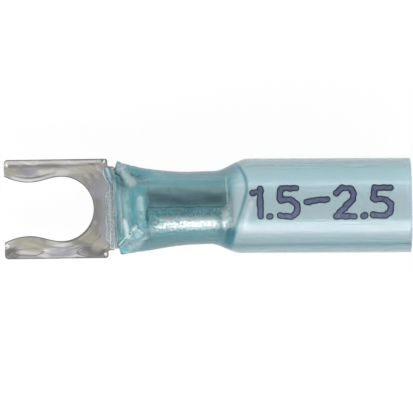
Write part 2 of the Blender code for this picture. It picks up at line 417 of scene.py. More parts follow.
def hand_over(obj, node):
    """Hides the solid that the piece stands for, if there is one, and hangs the piece under the root body."""
    if node:
        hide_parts(node)
    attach(obj, "root")


# Stamping

# Painted highlights at the tongue's corners, where the die rolls the sheet over, from the tips of the tines
GLINTS = ((0.2, 3.05), (0.19, -2.62), (6.99, 3.27), (7.04, -3.24))

# Patches of the plating, each with its centre and half sizes as x and y, from the tips of the tines. The pale
# and dark ones are partly its own tone and partly painted sheen and shade
PALE_TIN_AND_SHEEN = (
    ((3.6, 2.60), (1.9, 0.30), 0.7),
    ((3.4, -3.05), (1.2, 0.50), 1.0),
    ((4.6, -2.60), (1.4, 0.20), 0.6),
    ((1.9, -3.00), (1.0, 0.14), 0.7),
    ((6.25, -1.10), (0.2, 0.20), 0.9),
    ((6.22, 1.25), (0.12, 0.12), 0.9),
)
DULL_TIN_AND_SHADE = (
    ((0.9, 2.70), (1.1, 0.50), 0.6),
    ((6.4, 2.00), (0.9, 1.10), 0.45),
    ((0.5, -3.00), (0.7, 0.50), 0.9),
    ((1.9, -2.80), (1.2, 0.14), 0.5),
    ((6.2, -2.95), (1.2, 0.50), 0.9),
    ((5.6, -2.30), (1.2, 0.30), 0.5),
    ((6.6, -0.10), (0.5, 1.60), 0.4),
)
OLIVE_TIN = (
    ((0.5, 2.75), (0.6, 0.50)),
    ((5.6, 2.75), (1.3, 0.50)),
    ((3.1, 2.35), (0.7, 0.35)),
    ((1.8, -2.55), (1.2, 0.45)),
    ((5.8, -2.10), (0.9, 0.50)),
    ((6.6, -2.60), (0.5, 0.50)),
)
VIOLET_TIN = (
    ((1.6, 2.60), (0.8, 0.45)),
    ((6.6, 1.30), (0.5, 0.70)),
    ((4.0, -3.00), (1.1, 0.40)),
    ((6.7, -1.60), (0.3, 0.50)),
)
# Ovals with a dark outline on the lower tine, paler inside the left one and darker inside the right
RINGED_TIN = (((1.65, -2.92), (1.15, 0.28)), ((6.0, -2.95), (1.05, 0.36)))


def patches(wire, x, y, spots):
    """The spot's amount, or 1, in the middle of each and 0 outside them."""
    total = None
    for (cx, cy), (rx, ry), *amount in spots:
        away = wire.vector((x - cx) / rx, (y - cy) / ry, 0.0).length()
        spot = away.ramp(1.2, 0.4, 0.0, *amount or (1.0,))
        total = spot if total is None else total.most(spot)
    return total


class Blank:
    """The flat blank and how it curls into the barrel, from the drawing's sizes."""

    STUD_SETBACK = 4.0 * MM
    THROAT_SETBACK = 1.75 * MM
    TIP_RADIUS = 0.26 * MM
    SHOULDER_RADIUS = 0.18 * MM
    RELIEF_RADIUS = 0.14 * MM
    NECK_STEP = 0.545 * MM
    NECK_LAND = 0.42 * MM
    WAIST_WIDTH = 4.3 * MM
    WAIST_TAPER = 0.26 * MM
    CURL_SETBACK = 0.62 * MM
    CURL_LENGTH = 2.2 * MM
    WALL_SETBACK = 1.1 * MM
    BELL_LENGTH = 0.5 * MM
    BELL_FLARE = 0.08 * MM
    SEAM_GAP = 0.015 * MM
    COLUMNS = 28
    TIP_STEPS = 10
    SLOT_STEPS = 20
    WEB_STEPS = 14
    NECK_STEPS = 18
    TROUGH_STEPS = 16
    BARREL_STEPS = 10
    BELL_STEPS = 4

    def __init__(self, sizes):
        self.sheet = sizes.sheet
        self.edge = sizes.tongue_width / 2
        self.neck = self.edge - self.NECK_STEP
        self.tongue = sizes.tongue_length
        self.hole = sizes.stud_hole / 2
        self.throat = sizes.throat / 2
        self.tips = sizes.tip_gap / 2
        self.radius = sizes.barrel_bore / 2 + sizes.sheet / 2
        self.neck_end = self.tongue + self.NECK_LAND
        self.waist_start = self.neck_end + self.WAIST_TAPER
        self.curl_start = self.tongue + self.CURL_SETBACK
        self.barrel_start = self.curl_start + self.CURL_LENGTH
        self.barrel_end = self.barrel_start + sizes.barrel_length
        self.wall_start = self.barrel_start - self.WALL_SETBACK
        self.bell_start = self.barrel_end - self.BELL_LENGTH

    def slot(self, x):
        """Half the fork's gap."""
        if x < self.THROAT_SETBACK:
            return mix(self.throat, self.tips, (1 - x / self.THROAT_SETBACK) ** 2)
        part = (x - self.THROAT_SETBACK) / (self.STUD_SETBACK - self.THROAT_SETBACK)
        return mix(self.throat, self.hole, (1 - math.cos(math.pi * part)) / 2)

    def barrel_radius(self, x):
        return self.radius + self.BELL_FLARE * ramp(x, self.bell_start, self.barrel_end)

    def half_width(self, x):
        """Half the width behind the tongue: neck, waist, then wide enough to close the barrel."""
        waist = mix(self.neck, self.WAIST_WIDTH / 2, ramp(x, self.neck_end, self.waist_start))
        tilt = math.pi / self.COLUMNS / 2
        closed = math.pi * self.barrel_radius(x) - self.SEAM_GAP / 2 - self.sheet / 2 * math.sin(tilt)
        return mix(waist, closed, ramp(x, self.wall_start, self.barrel_start))

    def curled(self, x, s):
        """Where a point of the blank, s from its middle line, lies once it is curled."""
        bend = ramp(x, self.curl_start, self.barrel_start) / self.barrel_radius(x)
        base = -self.barrel_radius(x)
        if bend < 1:
            return Vector((x, s, base))
        angle = s * bend
        return Vector((x, math.sin(angle) / bend, base + (1 - math.cos(angle)) / bend))

    def raised(self, x, s, height):
        """The point at that height over the sheet's mid thickness, square to it."""
        foot = self.curled(x, s)
        along = self.curled(x + MERGE, s) - foot
        across = self.curled(x, s + MERGE) - foot
        return foot + along.cross(across).normalized() * height

    def rows(self):
        """Rows across half the blank, each with its inner and outer end."""
        flat = spread(self.TIP_RADIUS, self.THROAT_SETBACK, self.TIP_STEPS)[1:]
        flat += spread(self.THROAT_SETBACK, self.STUD_SETBACK, self.SLOT_STEPS)[1:]
        outer = arc(self.TIP_RADIUS, self.edge - self.TIP_RADIUS, self.TIP_RADIUS, 180, 90)
        rows = [((x, self.slot(x)), (x, y)) for x, y in outer + [(x, self.edge) for x in flat]]
        corner_x = self.tongue - self.SHOULDER_RADIUS
        outer = [(x, self.edge) for x in spread(self.STUD_SETBACK, corner_x, self.WEB_STEPS)[1:-1]]
        outer += arc(corner_x, self.edge - self.SHOULDER_RADIUS, self.SHOULDER_RADIUS, 90, 0)
        relief = self.RELIEF_RADIUS
        outer += arc(self.tongue + relief, self.neck + relief, relief, 180, 270)
        inner = arc(self.STUD_SETBACK, 0, self.hole, 90, 0, len(outer))[1:]
        inner[-1] = (self.STUD_SETBACK + self.hole, 0.0)
        rows += list(zip(inner, outer))
        inner = spread(rows[-1][0][0], self.wall_start, self.NECK_STEPS)[1:]
        outer = spread(rows[-1][1][0], self.wall_start, self.NECK_STEPS)[1:]
        rows += [((a, 0.0), (b, self.half_width(b))) for a, b in zip(inner, outer)]
        square = spread(self.wall_start, self.barrel_start, self.TROUGH_STEPS)[1:]
        square += spread(self.barrel_start, self.bell_start, self.BARREL_STEPS)[1:]
        square += spread(self.bell_start, self.barrel_end, self.BELL_STEPS)[1:]
        return rows + [((x, 0.0), (x, self.half_width(x))) for x in square]


def arc(x, y, radius, start, end, steps=6):
    """Points on an arc from start to end, in degrees, with both ends."""
    angles = [math.radians(a) for a in spread(start, end, steps)]
    return [(x + radius * math.cos(a), y + radius * math.sin(a)) for a in angles]


# Tints of the plating: cool behind the slot, then painted highlight, shade and glints on the barrel under the
# sleeve
COOL_WEB = (0.52, 0.62, 0.66)
BARREL_SHINE = (0.9, 0.95, 0.96)
BARREL_SHADE = (0.07, 0.15, 0.18)
BARREL_FOOT_SHADE = (0.42, 0.5, 0.52)
BARREL_GRAIN_AND_GLINTS = (0.95, 0.96, 0.97)


def tin_material(look):
    """Tin plating: streaks along the slot from the die's flow, partly painted sheen and shade, and painted
    edge highlights.
    """
    made, shader, wire = blank_material("tinned_sheet")
    place = millimetres(wire)
    x, y, z = place.parts()
    x = x - TIPS_X / MM
    slot, rim, side = (attribute(wire, name) * 1000 for name in ("from_slot", "from_edge", "from_side"))
    slot = mix(slot, wire.vector(x - 4.0, y, 0.0).length() - 2.25, x.ramp(3.8, 4.2))
    barrel = x.ramp(9.6, 10.3)
    upper = y.ramp(0.4, 1.2)
    tines = x.ramp(7.0, 6.2)
    drift = place.noise(0.5, 2.0) * 1.7
    flow = wire.vector(x * 0.3, y * 0.3, slot * 1.15 + drift)
    web = x.ramp(5.9, 6.5) * abs(y).ramp(2.1, 1.3) * (1 - barrel)
    streaks = mix(flow.noise(1.5, 3.0, 0.55, 0.6), 0.5, web * 0.85)
    fine = mix(flow.noise(5.0, 3.0, 0.6, 0.2), 0.5, web * 0.6)
    clouds = place.noise(0.42, 2.0, 0.5, 0.6)
    grain = place.noise(8.0, 3.0, 0.7)
    # Pale and dark streaks and patches: partly the plating's own tone and partly painted sheen and shade
    bright = streaks.ramp(0.46, 0.64) * 0.8 + fine.ramp(0.55, 0.75) * 0.25
    shift = (clouds - 0.5) * 1.5
    body = plain(wire, look.tin).tint(look.sheen_and_pale_tin, bright * (0.35 + tines * 0.65))
    body = body.tint(look.sheen_and_pale_tin, patches(wire, x + shift * 0.6, y + shift * 0.6, PALE_TIN_AND_SHEEN))
    body = body.tint(look.shade_and_dull_tin, x.ramp(4.6, 6.4) * 0.3 + streaks.ramp(0.48, 0.36) * 0.35)
    dull_and_shaded = patches(wire, x + shift * 0.5, y - shift * 0.5, DULL_TIN_AND_SHADE) * streaks.ramp(0.62, 0.44, 0.5, 1.0)
    body = body.tint(look.shade_and_dull_tin, dull_and_shaded)
    contours = (slot * 11 + drift * 1.6).cos().ramp(0.7, 1.0) * slot.ramp(1.5, 0.9) * slot.ramp(0.2, 0.3)
    body = body.tint(look.shade_and_dull_tin, contours * y.ramp(-1.5, -2.0) * x.ramp(2.4, 3.6) * 0.45)
    ringed = patches(wire, x, y + drift * 0.08, RINGED_TIN)
    body = body.tint(look.sheen_and_pale_tin, ringed.ramp(0.5, 0.9) * x.ramp(4.0, 3.5) * 0.3)
    body = body.tint(look.shade_and_dull_tin, ringed.ramp(0.5, 0.9) * x.ramp(4.0, 4.5) * 0.4)
    body = body.tint(look.shade_and_dull_tin, ringed.bump_at(0.35, 0.3) * 0.8)
    body = body.tint(look.shade_and_dull_tin, web * x.ramp(7.0, 6.3) * 0.4)
    body = body.tint(COOL_WEB, web * x.ramp(6.6, 7.2) * 0.6)
    body = body.tint(look.olive, patches(wire, x - shift, y + shift, OLIVE_TIN) * (0.3 + fine) * 0.9)
    body = body.tint(look.violet, patches(wire, x + shift, y + shift, VIOLET_TIN) * (0.3 + streaks) * 0.9)
    # Painted highlight along the upper tine's outer edge, with a painted dark line inside it
    body = body.tint(look.sheen_and_pale_tin, side.bump_at(0.22, 0.16) * upper * tines * 0.75)
    body = body.tint(look.shade_and_dull_tin, side.bump_at(0.46, 0.18) * upper * tines * 0.6)
    # Painted highlight along the slot's upper edge with a painted dark line beside it, and painted shade
    # along its lower inner edge
    crescent = upper * x.bump_at(2.0, 2.2)
    body = body.tint(look.sheen_and_pale_tin, slot.ramp(0.26, 0.16) * crescent)
    body = body.tint(look.edge, slot.bump_at(0.32, 0.1) * crescent * 0.9)
    body = body.tint(look.edge, slot.ramp(0.2, 0.08) * y.ramp(-0.4, -1.2) * x.ramp(3.4, 4.6) * tines * 0.8)
    grooves = place.stretched(0.35, 3.0, 3.0).noise(1.0, 3.0, 0.6)
    top = (z - AXIS_Z / MM).ramp(0.8, 1.4) * (y + (grooves - 0.5) * 0.6).ramp(1.12, 0.7)
    # Painted highlight on the barrel's flank towards +Y and along its seam
    body = body.tint(BARREL_SHINE, barrel * (y.ramp(1.1, 1.5) * 0.8).most(y.bump_at(0.0, 0.15) * 0.6))
    shade = top * y.ramp(-0.3, 0.1, 0.6, 1.0) * grooves.ramp(0.35, 0.65, 0.65, 1.0)
    shade = shade * abs(y).ramp(0.16, 0.06, 1.0, 0.1)
    body = body.tint(BARREL_SHADE, barrel * shade * x.ramp(15.8, 15.7, 0.7, 1.0))
    # Painted shade below the highlight band on the barrel
    body = body.tint(BARREL_FOOT_SHADE, barrel * y.ramp(-1.3, -1.55) * 0.7)
    # Painted highlight on the rim of the barrel's bell
    body = body.tint(WHITE, x.bump_at(15.66, 0.07) * y.ramp(-0.3, 0.0) * 0.8)
    # Painted glints: pale grains on the barrel's lit side
    body = body.tint(BARREL_GRAIN_AND_GLINTS, grain.ramp(0.48, 0.6) * barrel * y.ramp(0.4, -0.5) * 0.7)
    # Painted shade: a dark outline along the tongue's edges
    body = body.tint(look.edge, rim.ramp(0.04, 0.11, 1.0, 0.0) * x.ramp(7.9, 7.6) * 0.85)
    # Painted highlight at each corner: white in the colour, with a dimple in the bump
    glint = 0.0
    for spot_x, spot_y in GLINTS:
        away = wire.vector(x - spot_x, y - spot_y, 0.0).length()
        glint = away.ramp(0.15, 0.06) + glint
    body = body.tint(WHITE, glint)
    height = streaks * 0.5 + clouds * 1.2 + grain * (0.04 + barrel * 0.8) - glint * 0.8
    feed(
        shader,
        Base_Color=body,
        Metallic=1.0,
        Roughness=0.26 + fine * 0.16 + barrel * 0.08,
        Normal=bumped(wire, height, 0.14 * MM),
    )
    return made


def make_stamping(look):
    blank = Blank(look)
    rows, slot, rim, side = [], [], [], []
    for (x0, s0), (x1, s1) in blank.rows():
        steps = spread(0.0, 1.0, blank.COLUMNS)
        rows.append([blank.curled(mix(x0, x1, t), mix(s0, s1, t)) for t in steps])
        span = math.hypot(x1 - x0, s1 - s0)
        slot.append([t * span for t in steps])
        inner = span if x0 > blank.STUD_SETBACK + blank.hole + MERGE else 0.0
        rim.append([min(t * span + inner, (1 - t) * span) for t in steps])
        side.append([(1 - t) * span for t in steps])
    obj = grid_object("stamped_fork", rows, {"from_slot": slot, "from_edge": rim, "from_side": side})
    add_modifier(obj, "Other half", "MIRROR", use_axis=(False, True, False), merge_threshold=MERGE)
    add_modifier(obj, "Sheet", "SOLIDIFY", thickness=look.sheet, offset=0.0, use_even_offset=True)
    add_modifier(
        obj, "Die roll", "BEVEL", width=0.06 * MM, segments=3, limit_method="ANGLE",
        angle_limit=math.radians(50), use_clamp_overlap=True,
    )
    baked(obj)
    obj.data.shade_smooth()
    obj.data.materials.clear()
    obj.data.materials.append(tin_material(look))
    return obj


# Sleeve


class SleeveForm:
    """The sleeve's outer section along its length, as expressions for its node tree."""

    MOUTH = 8.03 * MM
    BARREL = 10.06 * MM
    SHOULDER = 14.56 * MM
    SHOULDER_END = 16.86 * MM
    NECK_CENTRE = 12.98 * MM
    NECK_FADE = 1.5
    MOUTH_HALF_WIDTH = 3.25 * MM
    MOUTH_TOP = 0.17 * MM
    MOUTH_BOTTOM = -2.45 * MM
    MOUTH_MIDDLE = -1.55 * MM
    MOUTH_CLIMB = 1.9 * MM
    MOUTH_FLAT = 3.8
    MOUTH_LEAN = -0.12
    MOUTH_YAW = -0.045
    SHOULDER_LEAN = 0.17
    SHOULDER_YAW = 0.08
    NECK_DRIFT = 0.12 * MM
    CORNER_CUT = 0.1 * MM
    TUBE_DRIFT = 0.05 * MM
    RIM = 0.08 * MM
    STATIONS = 451
    AROUND = 161
    # Long folds at the mouth: both ends as x and y, then height and half width. Below 0 it is a crease
    FOLDS = (
        ((7.70, 2.60), (8.50, 1.60), -0.16, 0.20),
        ((8.25, 2.55), (8.95, 1.75), 0.14, 0.40),
        ((8.00, -2.58), (8.74, -1.80), 0.18, 0.22),
        ((8.74, -1.80), (8.45, -0.90), 0.14, 0.20),
        ((8.80, -1.55), (9.20, -1.25), 0.09, 0.16),
        ((9.20, -1.25), (9.60, -1.65), 0.08, 0.18),
        ((8.05, 1.30), (8.15, -1.60), 0.09, 0.16),
        ((7.90, 1.50), (7.95, -2.20), -0.10, 0.12),
        ((9.50, 0.70), (9.55, -0.30), 0.10, 0.30),
        ((9.00, 1.20), (9.05, -1.00), -0.08, 0.22),
        ((8.90, 2.30), (10.10, 2.05), -0.09, 0.20),
        ((8.70, -2.55), (9.90, -2.05), 0.10, 0.22),
    )


def tube_drift(x):
    """How far the tube's middle lies to the side at x: it runs at a small angle to the barrel."""
    form = SleeveForm
    rise = x.ramp(form.SHOULDER, form.SHOULDER_END, 0.0, form.TUBE_DRIFT)
    return rise - x.ramp(form.SHOULDER_END, TUBE_END, 0.0, 2 * form.TUBE_DRIFT, "LINEAR")


def stroke(wire, x, y, start, end, half_width, amount=1.0, kind="SMOOTHSTEP"):
    """The amount on the line from start to end, 0 at its half width."""
    x, y = x - start[0], y - start[1]
    dx, dy = end[0] - start[0], end[1] - start[1]
    part = ((x * dx + y * dy) / (dx * dx + dy * dy)).most(0.0).least(1.0)
    away = wire.vector(x - part * dx, y - part * dy, 0.0).length()
    return away.ramp(0.0, half_width, amount, 0.0, kind)


def strokes(wire, x, y, table):
    """The highest of the strokes, each with its two ends, half width and amount."""
    total = stroke(wire, x, y, *table[0])
    for row in table[1:]:
        total = total.most(stroke(wire, x, y, *row))
    return total


def sleeve_tree(material):
    """A closed tube wall: a sheet whose one way runs along the outside, round the rim and back inside."""
    form = SleeveForm
    sizes = ("Tube radius", "Tube wall", "Neck radius", "Neck wall", "Mouth wall", "Wrinkle", "Streak")
    tree, wire, inlets = new_group("Shrunk sleeve", sizes, ("Stations", "Around"))
    tube_radius, tube_wall, neck_radius, neck_wall, mouth_wall, wrinkle, streak, stations, around = inlets
    sheet = wire.node(
        "GeometryNodeMeshGrid",
        None,
        {"Size X": 1.0, "Size Y": 1.0, "Vertices X": stations, "Vertices Y": around},
    )
    u, v, _ = wire.node("GeometryNodeInputPosition").parts()
    u = u + 0.5
    angle = (v + 0.5) * (2 * math.pi)
    out = u.ramp(0.0, 0.56, kind="LINEAR")
    back = u.ramp(0.58, 0.98, kind="LINEAR")
    inside = u.ramp(0.56, 0.58, kind="LINEAR")
    outside = u.ramp(0.98, 1.0, kind="LINEAR")
    along = (out - back) ** 1.25
    depth = inside - outside
    rim_swell = (1 - abs(depth * 2 - 1) ** 4) ** 0.25
    x = along.ramp(0.0, 1.0, form.MOUTH, TUBE_END - form.RIM, kind="LINEAR")

    opened = x.ramp(form.SHOULDER, form.SHOULDER_END)
    rounded = x.ramp(form.MOUTH, form.BARREL)
    radius = mix(neck_radius, tube_radius, opened)
    fade = 1 - (x - form.MOUTH) / (form.NECK_CENTRE - form.MOUTH)
    fade = fade.most(0.0) ** form.NECK_FADE
    half_width = radius + (form.MOUTH_HALF_WIDTH - neck_radius) * fade
    climb = ((x - form.MOUTH) / form.MOUTH_CLIMB).least(1.0)
    top = mix(form.MOUTH_TOP, radius, (climb * (math.pi / 2)).sin())
    bottom = mix(form.MOUTH_BOTTOM, -radius, rounded)
    middle = mix(form.MOUTH_MIDDLE, 0.0, rounded)
    flat = mix(form.MOUTH_FLAT, 2.0, rounded)
    tilted = 1 - x.ramp(form.MOUTH, (form.BARREL + form.SHOULDER) / 2)
    wall = mix(mix(neck_wall, mouth_wall, tilted), tube_wall, opened)
    skew = x.ramp((form.BARREL + form.SHOULDER) / 2, form.SHOULDER)
    skew = skew * (1 - x.ramp(form.SHOULDER_END, (form.SHOULDER_END + TUBE_END) / 2))
    lean = form.MOUTH_LEAN * tilted + form.SHOULDER_LEAN * skew
    yaw = form.MOUTH_YAW * tilted + form.SHOULDER_YAW * skew

    across, up = angle.cos(), angle.sin()
    lower = up.math("LESS_THAN", up, 0.0)
    power = mix(1.0, 2 / flat, lower)
    crumpled = 1 - x.ramp(form.MOUTH + 0.4 * MM, form.BARREL + 0.4 * MM)
    shrunk = 1 - x.ramp(form.SHOULDER, form.SHOULDER_END)
    folds = wire.vector(x * 1900, across * 1.1, up * 1.1).noise(1.0, 2.0, 0.5, 0.8) - 0.5
    dents = wire.vector(x * 900, across * 2.2, up * 2.2).noise(1.0, 1.0, 0.5, 0.4) - 0.5
    lines = wire.vector(x * 130, across * 13, up * 13).noise(1.0, 2.0) - 0.5
    swell = crumpled * wrinkle * (folds + dents) * 2 + shrunk * streak * lines * 2
    swell = swell * (1 - depth * 0.5)
    side_y = half_width * across.signed_power(power)
    upper = up.ramp(0.0, 0.3)
    fold_x = (x + lean * (top - middle) + yaw * side_y) / MM
    crest = 0.0
    for start, end, fold_top, half in form.FOLDS:
        crest = stroke(wire, fold_x, side_y / MM, start, end, half, fold_top * MM, "LINEAR") + crest
    crest = crest * upper
    swell = swell + crest * (1 - depth * 0.6)
    inset = wall * depth - swell
    drift = form.NECK_DRIFT * rounded * (1 - x.ramp(form.BARREL, form.SHOULDER_END))
    inset = inset - drift * across * depth
    y = (half_width - inset) * across.signed_power(power)
    height = mix(top - middle, middle - bottom, lower) - inset
    z = middle + height * up.signed_power(power)
    end = along.ramp(0.5, 0.51, -1.0, 1.0, kind="LINEAR")
    rim = form.RIM * end * rim_swell * (inside * (1 - back)).most(outside)
    placed_x = x + rim + lean * (z - middle) + yaw * y
    cut = side_y.ramp(2.8 * MM, form.MOUTH_HALF_WIDTH, 0.0, form.CORNER_CUT, "LINEAR")
    placed_x = placed_x + cut * (1 - x.ramp(form.MOUTH, form.MOUTH + 1.2 * MM))
    place = wire.vector(placed_x + TIPS_X, y - drift + tube_drift(placed_x), z + AXIS_Z)
    shaped = wire.node("GeometryNodeSetPosition", None, {"Geometry": sheet, "Position": place})
    return finish_sleeve(tree, wire, sheet, shaped, {"depth": depth, "fold": crest / MM}, material)


def finish_sleeve(tree, wire, sheet, shaped, marks, material):
    """Stores the marks first, because the sheet loses its own places when it is shaped."""
    marked = sheet
    for name, value in marks.items():
        marked = wire.node(
            "GeometryNodeStoreNamedAttribute",
            {"data_type": "FLOAT", "domain": "POINT"},
            {"Geometry": marked, "Name": name, "Value": value},
        )
    shaper = shaped.socket.node
    tree.links.new(marked.socket, shaper.inputs["Geometry"])
    joined = wire.node("GeometryNodeMergeByDistance", None, {"Geometry": shaped, "Distance": MERGE})
    smooth = wire.node("GeometryNodeSetShadeSmooth", None, {"Geometry": joined})
    real = wire.node("GeometryNodeRealizeInstances", None, {"Geometry": smooth})
    dressed = wire.node("GeometryNodeSetMaterial", None, {"Geometry": real, "Material": material})
    outlet = tree.nodes.new("NodeGroupOutput")
    tree.links.new(dressed.socket, outlet.inputs[0])
    return tree


# Cloudy and deep patches at the mouth, and two painted highlights on the shoulder: centre and half sizes as x
# and y, from the tips of the tines. The cloudy ones are partly stress whitening and partly painted highlight
WHITENED_AND_HIGHLIT_PATCHES = (
    ((8.85, 1.90), (0.45, 0.40), 0.20),
    ((8.56, 0.30), (0.22, 1.10), 0.18),
    ((9.20, -2.05), (0.50, 0.65), 0.20),
    ((15.75, -0.20), (0.25, 1.30), 0.24),
    ((16.85, -0.75), (0.30, 0.80), 0.22),
)
TEAL = (
    ((9.45, 2.42), (0.90, 0.34), 1.4),
    ((9.97, -2.30), (0.30, 0.65), 1.2),
    ((8.22, -2.98), (0.34, 0.36), 1.4),
    ((9.05, 0.20), (0.22, 1.20)),
    ((9.70, 1.20), (0.40, 0.30)),
)
# Painted shade on the neck over the barrel's top
DARK_BAND = (
    ((11.9, 0.35), (1.0, 0.40), 0.8),
    ((14.7, 0.60), (0.8, 0.40), 0.9),
    ((13.2, 0.30), (0.6, 0.30), 0.6),
)
# Strokes at the mouth, and pale ones at the barrel's end and shoulder: both ends as x and y, the half width
# and the amount. The pale ones are painted highlight, partly stress whitening; the deep ones are deeper tint
# where the wall doubles and painted shade
WHITENED_AND_HIGHLIGHT_STROKES = (
    ((8.42, -0.90), (8.64, -2.00), 0.25, 0.55),
    ((8.70, -1.84), (8.03, -2.56), 0.10, 0.50),
    ((9.02, -1.52), (9.25, -1.30), 0.16, 0.45),
    ((9.45, 1.81), (10.25, 2.03), 0.12, 0.14),
    ((7.99, 1.35), (8.06, 0.00), 0.12, 0.12),
    ((7.72, 2.35), (7.78, 1.20), 0.06, 0.30),
    ((8.12, 2.80), (8.95, 1.80), 0.42, 0.26),
    ((9.56, 0.70), (9.64, -0.10), 0.34, 0.30),
    ((9.64, -0.10), (9.75, -1.00), 0.22, 0.10),
    ((15.48, 2.35), (15.62, 0.40), 0.10, 0.25),
    ((16.80, -1.25), (17.25, 0.20), 0.36, 0.28),
)
CREASE_AND_SHADE_STROKES = (
    ((7.86, 2.39), (8.42, 1.55), 0.28, 1.2),
    ((7.86, 2.39), (8.42, 1.55), 0.12, 2.2),
    ((8.64, -2.10), (8.00, -2.78), 0.13, 1.4),
    ((7.84, 2.00), (7.92, -2.20), 0.16, 1.0),
    ((9.30, -1.60), (9.42, -1.45), 0.10, 1.0),
    ((9.22, -0.60), (9.38, -1.35), 0.16, 1.0),
    ((9.62, -0.10), (9.55, -0.90), 0.12, 0.6),
    ((9.74, -0.80), (9.82, -2.90), 0.30, 0.8),
    ((10.04, -0.75), (10.06, -2.30), 0.26, 1.3),
    ((8.21, 1.25), (8.23, 0.10), 0.16, 0.8),
    ((7.95, 2.30), (7.95, 1.35), 0.16, 1.3),
    ((9.72, -1.90), (9.95, -2.90), 0.35, 1.3),
    ((7.95, -2.10), (8.00, -2.95), 0.16, 0.9),
    ((7.90, 3.20), (8.30, 3.10), 0.22, 1.1),
)


# Tints of the sleeve at its mouth, on the neck, at the shoulder and along the tube
DEEP_CREASE_SHADE = (0.1, 0.36, 0.42)
BRIGHT_TEAL = (0.2, 0.86, 0.98)
TEAL_SHARD = (0.3, 0.9, 1.0)
PALE_LINE = (0.7, 1.0, 1.0)
DEEP_THREAD = (0.3, 0.7, 0.72)
SHADE_BAND = (0.28, 0.58, 0.65)
NECK_FOOT_SHADE = (0.33, 0.6, 0.61)
NECK_TOP = (0.7, 0.88, 0.9)
SHOULDER_TEAL = (0.05, 0.46, 0.55)
LINING_END = (0.14, 0.44, 0.48)
TUBE_MIDDLE = (0.855, 0.905, 0.918)
TUBE_LOWER_SHEEN = (0.9, 0.935, 0.95)
TUBE_SHADE_LINE = (0.24, 0.5, 0.56)
TUBE_FOOT_SHEEN = (0.85, 0.93, 0.94)
SHELL = (0.76, 0.95, 0.97)
SHELL_EDGE = (0.05, 0.3, 0.38)


